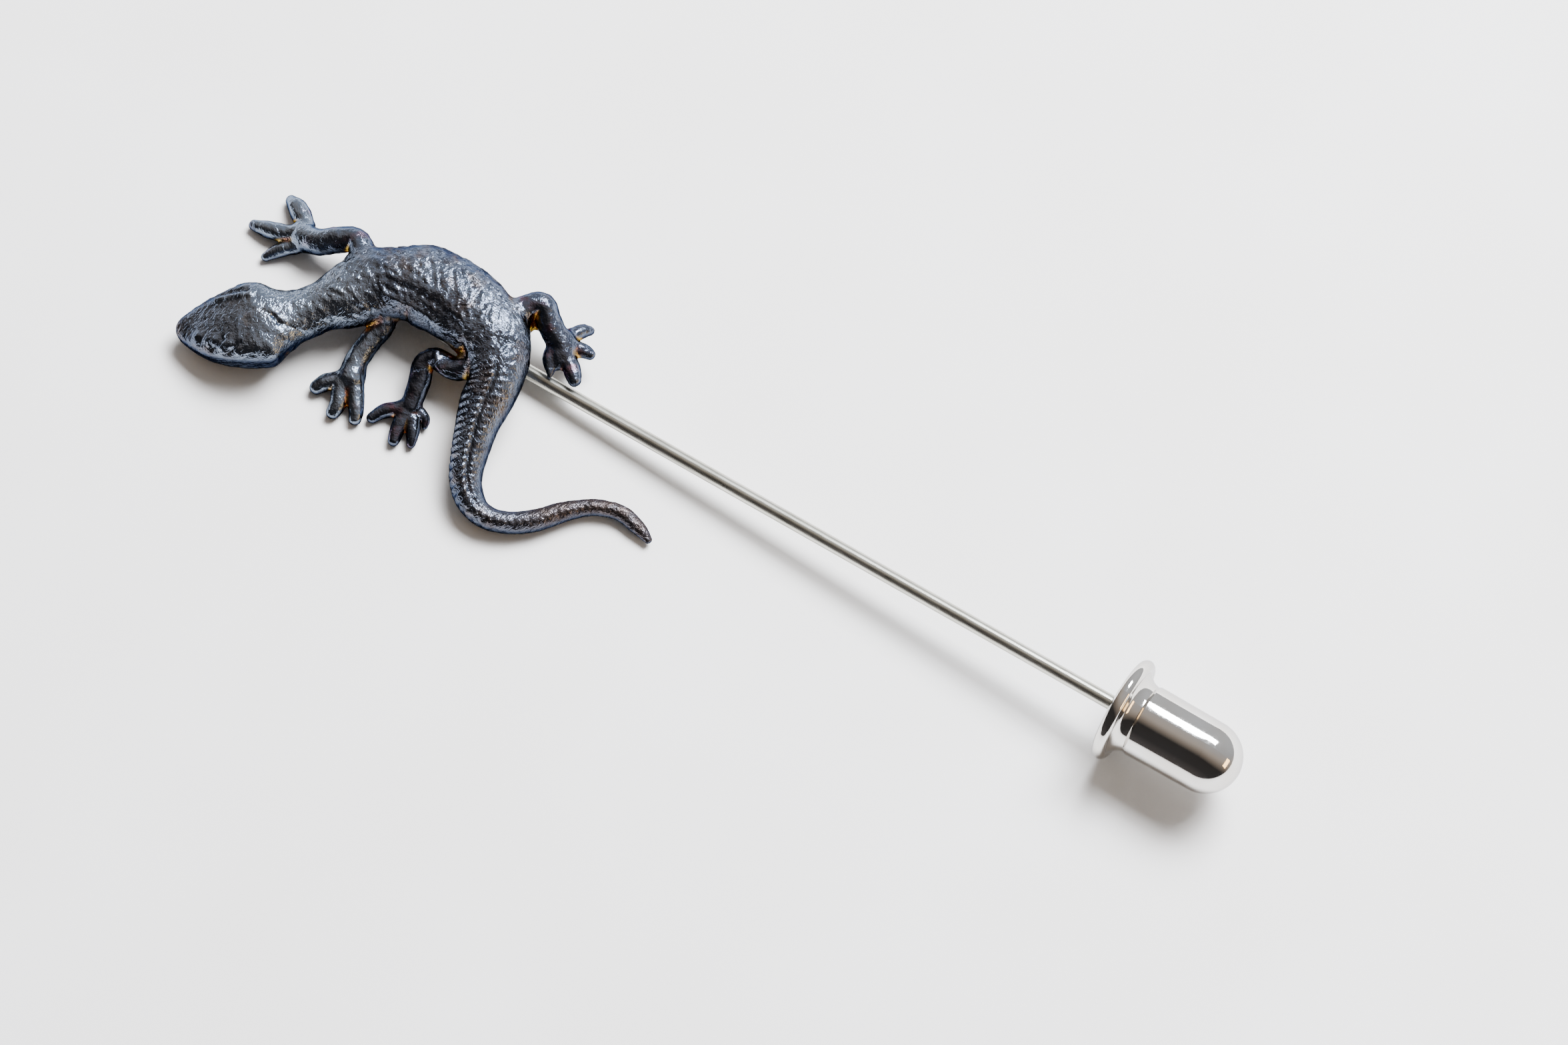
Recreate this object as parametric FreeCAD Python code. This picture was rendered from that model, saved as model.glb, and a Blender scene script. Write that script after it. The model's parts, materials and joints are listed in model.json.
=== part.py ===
import FreeCAD
import Part
import math
import os

# A stick pin for a hat or lapel: a small cast lizard, a straight steel wire soldered under
# its belly, and a push-on bullet clutch that guards the point.
#
# The part is drawn in its own pin frame, in millimetres, then moved so that its origin is at
# the middle of its bounding box's underside. In the pin frame +X runs along the wire from the
# lizard to the point, +Y is the lizard's left flank, z = 0 is the table, and x = 0 is where
# the wire comes out from under the lizard. The wire climbs towards the clutch, whose wide
# flange rests on the table at one end while the lizard's toes and tail rest at the other.

# ---- driving dimensions ----
WIRE_DIAMETER = 1.0
WIRE_LENGTH = 63.5
WIRE_HEAD_X = -11.1
WIRE_HEAD_HEIGHT = 0.56
TINNED_LENGTH = 14.5      # the soldered end, with a coat of tin that thins out along it
TIN_THICKNESS = 0.02
SHANK_LENGTH = 39.8       # the free straight wire between the lizard and the clutch
POINT_LENGTH = 1.9
POINT_RADIUS = 0.06
NOSE_DRAFT = 0.02         # how much the radius narrows from the shank to the point
HEAD_CHAMFER = 0.12

CLUTCH_MOUTH_X = 44.3
CLUTCH_LENGTH = 8.9
FLANGE_RADIUS = 3.575
LIP_RADIUS = 0.455
TUBE_RADIUS = 2.45
DOME_RADIUS = 2.4
SHELL_WALL = 0.4
LIP_FRONT_ANGLE = 235     # where the rounded lip starts at the mouth, in degrees
LIP_TOP_ANGLE = 100
LIP_BACK_ANGLE = -20
MOUTH_FLARE = (0.85, 2.28)        # a point on the flare inside the mouth: along, radius
FLANGE_HOLLOW = (1.15, 2.62)      # a point in the hollow behind the flange
NECK_X = 1.75
NECK_GROOVE = 0.09
NECK_RUNOUT = 0.2

WASHER_FRONT = 1.95
WASHER_THICKNESS = 0.5
WASHER_CLEARANCE = 0.06
WASHER_LAND = 0.15        # how much of the bore is straight behind the countersink
COUNTERSINK_RADIUS = 1.0
GRIP_FRONT = 2.6
GRIP_BACK = 6.3
GRIP_CLEARANCE = 0.02
GRIP_SHELL_CLEARANCE = 0.04
GRIP_BEVEL = 0.25

SOLDER_CENTRE_X = -6.3
SOLDER_HALF_LENGTH = 4.3
SOLDER_HALF_WIDTH = 1.3
SOLDER_HALF_HEIGHT = 0.62
SOLDER_RISE = 0.42

WIRE_RADIUS = WIRE_DIAMETER / 2

# The lizard's spine from snout to tail tip: x, y, height of the middle, half width,
# half height.
SPINE = [
    (-22.12, -9.83, 1.50, 0.62, 0.40),
    (-21.75, -9.72, 1.56, 1.08, 0.74),
    (-21.26, -9.58, 1.65, 1.46, 0.93),
    (-20.26, -9.03, 1.90, 2.06, 1.22),
    (-18.66, -7.76, 2.30, 2.88, 1.50),
    (-17.03, -6.75, 2.42, 3.04, 1.60),
    (-16.60, -6.05, 2.48, 2.46, 1.58),
    (-16.05, -5.50, 2.50, 1.97, 1.55),
    (-15.29, -4.90, 2.55, 1.68, 1.50),
    (-14.52, -3.94, 2.65, 1.66, 1.55),
    (-13.80, -2.76, 2.78, 2.12, 1.72),
    (-12.38, -0.84, 2.95, 2.50, 1.90),
    (-11.10, 0.12, 3.05, 2.48, 2.00),
    (-9.73, 0.78, 3.15, 2.81, 2.05),
    (-8.22, 1.01, 3.20, 2.87, 2.10),
    (-6.72, 0.98, 3.20, 2.78, 2.10),
    (-5.22, 0.75, 3.20, 2.65, 2.05),
    (-3.70, 0.20, 3.20, 2.50, 1.93),
    (-2.50, -0.95, 3.10, 2.15, 1.75),
    (-1.85, -2.50, 2.95, 1.80, 1.58),
    (-1.60, -4.00, 2.70, 1.68, 1.45),
    (-1.32, -5.36, 2.40, 1.46, 1.35),
    (-0.94, -6.57, 2.10, 1.32, 1.30),
    (-0.56, -7.59, 1.85, 1.17, 1.20),
    (-0.06, -8.67, 1.60, 1.08, 1.15),
    (0.67, -9.51, 1.35, 0.99, 1.10),
    (1.68, -9.97, 1.15, 0.86, 1.00),
    (2.91, -9.95, 1.05, 0.76, 0.92),
    (4.14, -9.41, 0.97, 0.76, 0.86),
    (5.26, -8.47, 0.92, 0.76, 0.80),
    (6.24, -7.21, 0.85, 0.70, 0.73),
    (7.05, -6.32, 0.80, 0.62, 0.66),
    (7.96, -5.63, 0.75, 0.57, 0.60),
    (9.07, -5.14, 0.70, 0.55, 0.55),
    (10.04, -5.04, 0.65, 0.54, 0.50),
    (10.94, -5.15, 0.60, 0.49, 0.45),
    (11.68, -5.37, 0.55, 0.39, 0.36),
    (12.20, -5.63, 0.50, 0.26, 0.26),
]

# Legs from shoulder or hip to palm, then toes from palm to claw: x, y, z, radius.
LIMBS = {
    "left fore leg": [
        (-13.6, -0.3, 2.9, 0.95),
        (-15.0, 1.25, 3.0, 0.72),
        (-16.4, 0.8, 2.45, 0.85),
        (-17.54, 0.2, 1.9, 0.92),
        (-18.58, 0.05, 1.3, 0.95),
        (-19.2, 0.15, 1.05, 0.8),
    ],
    "left fore toe 1": [
        (-19.33, 0.94, 1.0, 0.55),
        (-20.43, 1.72, 0.75, 0.7),
        (-21.33, 2.12, 0.5, 0.38),
    ],
    "left fore toe 2": [
        (-19.83, -0.05, 1.0, 0.5),
        (-21.25, -0.4, 0.7, 0.55),
        (-22.51, -0.7, 0.5, 0.38),
    ],
    "left fore toe 3": [
        (-19.04, -0.69, 1.0, 0.5),
        (-19.88, -1.35, 0.7, 0.48),
        (-20.53, -2.17, 0.45, 0.3),
    ],
    "right fore leg": [
        (-11.3, -1.4, 2.4, 0.85),
        (-10.48, -2.64, 2.0, 0.7),
        (-10.6, -3.84, 1.6, 0.66),
        (-10.67, -5.38, 1.2, 0.72),
        (-10.62, -6.54, 0.95, 0.85),
    ],
    "right fore toe 1": [
        (-11.2, -7.02, 0.8, 0.5),
        (-11.86, -7.64, 0.65, 0.48),
        (-12.36, -8.26, 0.5, 0.4),
    ],
    "right fore toe 2": [
        (-10.67, -7.4, 0.8, 0.5),
        (-10.39, -8.65, 0.6, 0.5),
        (-10.39, -9.15, 0.45, 0.38),
    ],
    "right fore toe 3": [
        (-9.89, -7.13, 0.8, 0.5),
        (-9.18, -8.08, 0.6, 0.45),
        (-8.87, -8.75, 0.45, 0.38),
    ],
    "right hind leg": [
        (-3.93, -2.05, 2.7, 0.95),
        (-4.68, -2.8, 2.5, 0.8),
        (-6.08, -2.83, 2.3, 0.75),
        (-6.9, -3.0, 2.1, 0.72),
        (-6.98, -3.53, 1.8, 0.7),
        (-6.52, -4.55, 1.4, 0.66),
        (-6.33, -5.55, 1.0, 0.6),
        (-6.15, -6.11, 0.85, 0.72),
    ],
    "right hind toe 1": [
        (-6.71, -6.6, 0.75, 0.48),
        (-7.54, -7.24, 0.6, 0.46),
        (-8.0, -8.0, 0.45, 0.4),
    ],
    "right hind toe 2": [
        (-5.99, -6.89, 0.75, 0.45),
        (-6.09, -7.82, 0.6, 0.42),
        (-5.94, -8.58, 0.45, 0.38),
    ],
    "right hind toe 3": [
        (-5.46, -6.75, 0.75, 0.45),
        (-5.07, -7.55, 0.6, 0.38),
        (-4.75, -8.21, 0.45, 0.28),
    ],
    "right hind toe 4": [
        (-5.37, -6.11, 0.7, 0.4),
        (-4.93, -6.33, 0.55, 0.3),
        (-4.65, -6.69, 0.45, 0.2),
    ],
    "left hind leg": [
        (-3.4, 1.2, 3.2, 0.95),
        (-2.9, 3.0, 3.4, 0.85),
        (-1.97, 3.75, 3.4, 0.8),
        (-1.06, 3.1, 2.9, 0.84),
        (-0.21, 2.6, 2.4, 0.86),
        (0.43, 2.4, 2.1, 0.74),
    ],
    "left hind toe 1": [
        (0.28, 3.22, 1.9, 0.55),
        (0.74, 4.12, 1.7, 0.46),
        (1.2, 4.61, 1.5, 0.28),
    ],
    "left hind toe 2": [
        (0.96, 2.71, 1.9, 0.5),
        (1.64, 3.0, 1.8, 0.42),
        (2.1, 2.96, 1.7, 0.28),
    ],
    "left hind toe 3": [
        (0.87, 2.05, 2.0, 0.55),
        (1.81, 1.28, 2.1, 0.5),
        (2.36, 0.79, 2.1, 0.38),
    ],
    "left hind toe 4": [
        (-0.05, 1.85, 2.25, 0.5),
        (0.1, 1.09, 2.2, 0.45),
        (0.6, 0.47, 2.2, 0.3),
        (0.83, 0.06, 2.2, 0.16),
    ],
}
CAP_REACH = 0.8           # how far a limb's cap stands beyond its end, in radii
END_TAPER = 0.45          # a loft's last section is this much smaller than the limb there
BELLY_FLATNESS = 0.86     # how full the underside of a body section is against its back
SECTION_POINTS = 8


def wire_slope():
    """The wire's climb in degrees that lets the flange rest on the table."""
    run = CLUTCH_MOUTH_X + LIP_RADIUS - WIRE_HEAD_X
    slope = 0.0
    for _ in range(20):
        slope = math.atan2(FLANGE_RADIUS * math.cos(slope) - WIRE_HEAD_HEIGHT, run)
    return math.degrees(slope)


SLOPE = wire_slope()


def wire_height(x):
    return WIRE_HEAD_HEIGHT + math.tan(math.radians(SLOPE)) * (x - WIRE_HEAD_X)


def along_wire(shape, x):
    """Places a shape drawn along +X from the origin so that it starts on the wire at x."""
    shape.rotate(FreeCAD.Vector(0, 0, 0), FreeCAD.Vector(0, 1, 0), -SLOPE)
    shape.translate(FreeCAD.Vector(x, 0, wire_height(x)))
    return shape


def turned(edges):
    """A solid turned about the X axis from a closed outline in the XZ half plane."""
    face = Part.Face(Part.Wire(edges))
    return face.revolve(FreeCAD.Vector(0, 0, 0), FreeCAD.Vector(1, 0, 0), 360)


def point(x, r):
    return FreeCAD.Vector(x, 0, r)


def line(a, b):
    return Part.LineSegment(a, b).toShape()


def arc(a, middle, b):
    return Part.Arc(a, middle, b).toShape()


# ---- lizard ----
def body_section(centre, heading, half_width, half_height):
    """A closed smooth section across the spine, rounder above than below."""
    across = FreeCAD.Vector(-heading.y, heading.x, 0)
    points = []
    for i in range(SECTION_POINTS):
        angle = 2 * math.pi * i / SECTION_POINTS
        rise = half_height * math.sin(angle)
        if rise < 0:
            rise *= BELLY_FLATNESS
        points.append(centre + across * (half_width * math.cos(angle)) + FreeCAD.Vector(0, 0, rise))
    curve = Part.BSplineCurve()
    curve.interpolate(Points=points, PeriodicFlag=True)
    return Part.Wire(curve.toShape())


def spine_loft():
    sections = []
    last = len(SPINE) - 1
    for i, (x, y, z, half_width, half_height) in enumerate(SPINE):
        before = SPINE[max(i - 1, 0)]
        after = SPINE[min(i + 1, last)]
        heading = FreeCAD.Vector(after[0] - before[0], after[1] - before[1], 0).normalize()
        sections.append(body_section(FreeCAD.Vector(x, y, z), heading, half_width, half_height))
    return Part.makeLoft(sections, True, False)


def limb_loft(stations):
    """A round limb through its stations, with a small cap beyond each end."""
    centres = [FreeCAD.Vector(x, y, z) for x, y, z, _ in stations]
    radii = [r for *_, r in stations]
    start = (centres[0] - centres[1]).normalize()
    end = (centres[-1] - centres[-2]).normalize()
    centres.insert(0, centres[0] + start * radii[0] * CAP_REACH)
    centres.append(centres[-1] + end * radii[-1] * CAP_REACH)
    radii = [radii[0] * END_TAPER] + radii + [radii[-1] * END_TAPER]
    sections = []
    last = len(centres) - 1
    for i, (centre, radius) in enumerate(zip(centres, radii)):
        heading = (centres[min(i + 1, last)] - centres[max(i - 1, 0)]).normalize()
        circle = Part.Circle(centre, heading, radius)
        sections.append(Part.Wire(circle.toShape()))
    return Part.makeLoft(sections, True, False)


def lizard_casting():
    limbs = [limb_loft(stations) for stations in LIMBS.values()]
    lizard = spine_loft().multiFuse(limbs)
    return lizard.cut(wire_channel())


# ---- wire and solder ----
def wire_channel():
    """The round channel that the tinned end of the wire lies in, tapered as the tin is."""
    start = FreeCAD.Vector(0, 0, 0)
    along = FreeCAD.Vector(1, 0, 0)
    channel = Part.makeCone(WIRE_RADIUS + TIN_THICKNESS, WIRE_RADIUS, TINNED_LENGTH, start, along)
    return along_wire(channel, WIRE_HEAD_X)


def pin_wire():
    """The wire: a tinned end that narrows to the plain shank, then a blunt-tipped point."""
    shank_end = TINNED_LENGTH + SHANK_LENGTH
    outline = [
        point(0, 0),
        point(0, WIRE_RADIUS + TIN_THICKNESS - HEAD_CHAMFER),
        point(HEAD_CHAMFER, WIRE_RADIUS + TIN_THICKNESS * (1 - HEAD_CHAMFER / TINNED_LENGTH)),
        point(TINNED_LENGTH, WIRE_RADIUS),
        point(shank_end, WIRE_RADIUS),
        point(WIRE_LENGTH - POINT_LENGTH, WIRE_RADIUS - NOSE_DRAFT),
        point(WIRE_LENGTH, POINT_RADIUS),
        point(WIRE_LENGTH, 0),
    ]
    edges = [line(a, b) for a, b in zip(outline, outline[1:] + outline[:1])]
    return along_wire(turned(edges), WIRE_HEAD_X)


def solder_bead(lizard):
    bead = Part.makeSphere(1.0)
    stretch = FreeCAD.Matrix()
    stretch.scale(SOLDER_HALF_LENGTH, SOLDER_HALF_WIDTH, SOLDER_HALF_HEIGHT)
    bead = bead.transformGeometry(stretch)
    bead = along_wire(bead, SOLDER_CENTRE_X)
    bead.translate(FreeCAD.Vector(0, 0, SOLDER_RISE))
    return bead.cut(wire_channel()).cut(lizard)


# ---- clutch, drawn along +X from its mouth ----
def polar(centre_x, centre_r, radius, degrees):
    angle = math.radians(degrees)
    return point(centre_x + radius * math.cos(angle), centre_r + radius * math.sin(angle))


def clutch_shell():
    inner = TUBE_RADIUS - SHELL_WALL
    dome_inner = DOME_RADIUS - SHELL_WALL
    dome_x = CLUTCH_LENGTH - DOME_RADIUS
    dome_tip = point(CLUTCH_LENGTH - SHELL_WALL, 0)
    lip_r = FLANGE_RADIUS - LIP_RADIUS
    lip_front = polar(LIP_RADIUS, lip_r, LIP_RADIUS, LIP_FRONT_ANGLE)
    lip_top = polar(LIP_RADIUS, lip_r, LIP_RADIUS, LIP_TOP_ANGLE)
    lip_back = polar(LIP_RADIUS, lip_r, LIP_RADIUS, LIP_BACK_ANGLE)
    neck = point(NECK_X, TUBE_RADIUS - NECK_GROOVE)
    tube_start = point(NECK_X + NECK_RUNOUT, TUBE_RADIUS)
    edges = [
        arc(point(NECK_X, inner), point(*MOUTH_FLARE), lip_front),
        arc(lip_front, lip_top, lip_back),
        arc(lip_back, point(*FLANGE_HOLLOW), neck),
        line(neck, tube_start),
        line(tube_start, point(dome_x, DOME_RADIUS)),
        arc(point(dome_x, DOME_RADIUS), polar(dome_x, 0, DOME_RADIUS, 45), point(CLUTCH_LENGTH, 0)),
        line(point(CLUTCH_LENGTH, 0), dome_tip),
        arc(dome_tip, polar(dome_x, 0, dome_inner, 45), point(dome_x, dome_inner)),
        line(point(dome_x, dome_inner), point(dome_x, inner)),
        line(point(dome_x, inner), point(NECK_X, inner)),
    ]
    return along_wire(turned(edges), CLUTCH_MOUTH_X)


def clutch_washer():
    bore = WIRE_RADIUS + WASHER_CLEARANCE
    rim = TUBE_RADIUS - SHELL_WALL
    back = WASHER_FRONT + WASHER_THICKNESS
    outline = [
        point(WASHER_FRONT, COUNTERSINK_RADIUS),
        point(WASHER_FRONT, rim),
        point(back, rim),
        point(back, bore),
        point(back - WASHER_LAND, bore),
    ]
    edges = [line(a, b) for a, b in zip(outline, outline[1:] + outline[:1])]
    return along_wire(turned(edges), CLUTCH_MOUTH_X)


def clutch_grip():
    bore = WIRE_RADIUS + GRIP_CLEARANCE
    rim = TUBE_RADIUS - SHELL_WALL - GRIP_SHELL_CLEARANCE
    outline = [
        point(GRIP_FRONT, bore + GRIP_BEVEL),
        point(GRIP_FRONT, rim - GRIP_BEVEL),
        point(GRIP_FRONT + GRIP_BEVEL, rim),
        point(GRIP_BACK - GRIP_BEVEL, rim),
        point(GRIP_BACK, rim - GRIP_BEVEL),
        point(GRIP_BACK, bore),
        point(GRIP_FRONT + GRIP_BEVEL, bore),
    ]
    edges = [line(a, b) for a, b in zip(outline, outline[1:] + outline[:1])]
    return along_wire(turned(edges), CLUTCH_MOUTH_X)


def main():
    lizard = lizard_casting()
    parts = {
        "lizard_casting": lizard,
        "pin_wire": pin_wire(),
        "solder_bead": solder_bead(lizard),
        "clutch_shell": clutch_shell(),
        "clutch_washer": clutch_washer(),
        "clutch_grip": clutch_grip(),
    }
    box = Part.makeCompound(list(parts.values())).optimalBoundingBox(False)
    origin = FreeCAD.Vector((box.XMin + box.XMax) / 2, (box.YMin + box.YMax) / 2, box.ZMin)
    os.makedirs("parts", exist_ok=True)
    for node, shape in parts.items():
        shape.translate(origin * -1)
        shape.exportStep(f"parts/{node}.step")
        print(f"{node}: valid {shape.isValid()}, solids {len(shape.Solids)}, {shape.Volume:.2f} mm3")
    print(f"size {box.XLength:.2f} x {box.YLength:.2f} x {box.ZLength:.2f} mm, slope {SLOPE:.3f} degrees")
    print(f"the pin frame's zero is at {-origin.x:.4f}, {-origin.y:.4f}, {-origin.z:.4f}")


main()
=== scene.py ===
import json
import math

import bpy
import numpy as np
import openvdb
from mathutils import Matrix, Vector


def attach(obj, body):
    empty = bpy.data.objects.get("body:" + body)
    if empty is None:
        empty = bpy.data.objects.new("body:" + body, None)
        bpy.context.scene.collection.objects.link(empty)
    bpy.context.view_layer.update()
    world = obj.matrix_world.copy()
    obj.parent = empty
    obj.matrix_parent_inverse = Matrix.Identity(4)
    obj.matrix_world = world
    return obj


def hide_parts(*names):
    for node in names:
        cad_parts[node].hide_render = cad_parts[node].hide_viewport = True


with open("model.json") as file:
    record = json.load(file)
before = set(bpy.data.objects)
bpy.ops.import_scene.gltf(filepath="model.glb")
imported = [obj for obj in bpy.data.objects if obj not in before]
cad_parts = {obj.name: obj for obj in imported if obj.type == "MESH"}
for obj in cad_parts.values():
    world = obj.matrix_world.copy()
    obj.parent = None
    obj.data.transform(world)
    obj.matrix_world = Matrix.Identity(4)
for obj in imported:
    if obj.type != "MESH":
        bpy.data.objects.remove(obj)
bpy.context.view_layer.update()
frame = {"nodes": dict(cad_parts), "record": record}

# A stick pin: a small cast lizard soldered to a straight steel wire, with a bullet clutch on
# the point. Lengths in this file are in millimetres of the pin frame: +X runs along the wire
# from the lizard to the point, z is the height over the table, and x = 0, y = 0 is where the
# wire comes out from under the lizard. pin_point() turns them into metres of the row frame.
MM = 0.001
SHAFT_MOUNT_X = 23.25   # where the middle of the pin_shaft mount is along the wire

shaft = next(m for m in frame["record"]["mounts"] if m["name"] == "pin_shaft")
shaft_axis = Vector(shaft["axis"]).normalized()
shaft_middle = Vector(shaft["pos_m"])
pin_zero = Vector((shaft_middle.x - SHAFT_MOUNT_X * MM, shaft_middle.y, 0.0))
wire_radius = shaft["dims"]["r_mm"]
wire_climb = shaft_axis.z / shaft_axis.x
wire_height_at_zero = shaft_middle.z / MM - SHAFT_MOUNT_X * wire_climb


def pin_point(x, y, z):
    return pin_zero + Vector((x, y, z)) * MM


def wire_height(x):
    return wire_height_at_zero + wire_climb * x


# ---------------------------------------------------------------------------
# The lizard's shape
# ---------------------------------------------------------------------------
VOXEL = 0.1
FIELD_MARGIN = 3        # how far each side of the surface the distances are kept, in voxels
FIELD_LOW = (-24.2, -12.0, -0.6)
FIELD_HIGH = (13.4, 6.6, 6.2)
SPINE_STEPS = 14        # steps between one station and the next
LIMB_STEPS = 5
HEAD_STEPS = 6
POINTS_AT_ONCE = 20000  # how many points are measured against the spine together
CHANNEL_END_X = -11.2   # the wire's channel reaches this far under the lizard
HEAD_CROWN = 0.16       # how much lower the head's top is at its edge than along its middle
HEAD_CROWN_WIDTH = 2.4
HEAD_EDGE_SHARE = 0.75
NECK_FILLET = 0.9
END_ROUNDNESS = 0.6

# Spine stations from snout to tail tip: x, y, height of the middle, half width, half height.
SPINE = [
    (-22.1, -9.8, 1.5, 0.6, 0.4),
    (-20.3, -8.85, 1.9, 2.05, 1.2),
    (-18.6, -7.85, 2.3, 2.9, 1.5),
    (-17.2, -6.85, 2.45, 2.1, 1.4),
    (-16.1, -5.75, 2.5, 1.9, 1.5),
    (-15.2, -4.75, 2.55, 1.75, 1.5),
    (-14.5, -3.75, 2.65, 1.75, 1.55),
    (-13.7, -2.65, 2.8, 2.2, 1.7),
    (-12.4, -0.8, 2.95, 2.5, 1.9),
    (-11.1, 0.1, 3.05, 2.5, 2.0),
    (-9.7, 0.8, 3.15, 2.8, 2.05),
    (-8.2, 1.0, 3.2, 2.85, 2.1),
    (-6.7, 1.0, 3.2, 2.8, 2.1),
    (-5.2, 0.75, 3.2, 2.65, 2.05),
    (-3.7, 0.2, 3.2, 2.5, 1.95),
    (-2.5, -1.0, 3.1, 2.15, 1.75),
    (-1.8, -2.5, 2.95, 1.8, 1.6),
    (-1.6, -4.0, 2.7, 1.7, 1.45),
    (-1.3, -5.4, 2.4, 1.45, 1.35),
    (-0.6, -7.5, 1.85, 1.2, 1.2),
    (-0.1, -8.6, 1.6, 1.1, 1.15),
    (0.7, -9.5, 1.35, 1.0, 1.1),
    (1.7, -10.0, 1.15, 0.85, 1.0),
    (2.9, -9.95, 1.05, 0.75, 0.9),
    (4.1, -9.4, 0.95, 0.75, 0.85),
    (5.3, -8.4, 0.9, 0.75, 0.8),
    (6.2, -7.25, 0.85, 0.7, 0.75),
    (7.1, -6.3, 0.8, 0.6, 0.65),
    (8.0, -5.6, 0.75, 0.55, 0.6),
    (9.1, -5.1, 0.7, 0.55, 0.55),
    (10.0, -5.0, 0.65, 0.55, 0.5),
    (11.0, -5.2, 0.6, 0.5, 0.45),
    (11.7, -5.4, 0.55, 0.4, 0.35),
    (12.2, -5.6, 0.5, 0.25, 0.25),
]

HEAD_STATIONS = 3       # the first stations guide the head's direction and the skin over it

# The head seen from above, round from the snout along its left side: x, y.
HEAD_OUTLINE = [
    (-22.35, -9.7),
    (-22.1, -8.6),
    (-21.4, -7.3),
    (-20.15, -5.6),
    (-19.35, -4.9),
    (-18.4, -4.7),
    (-16.6, -5.1),
    (-14.9, -6.7),
    (-14.85, -7.7),
    (-14.9, -8.6),
    (-15.5, -9.2),
    (-17.0, -10.1),
    (-19.1, -10.7),
    (-21.55, -10.5),
]

# The head seen from its side: distance from the snout, height of the middle, half height.
HEAD_PROFILE = [
    (0.0, 1.50, 0.55),
    (1.3, 1.70, 0.95),
    (2.6, 2.00, 1.28),
    (4.2, 2.32, 1.58),
    (5.6, 2.42, 1.68),
    (7.2, 2.46, 1.56),
    (8.8, 2.46, 1.36),
]

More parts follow.
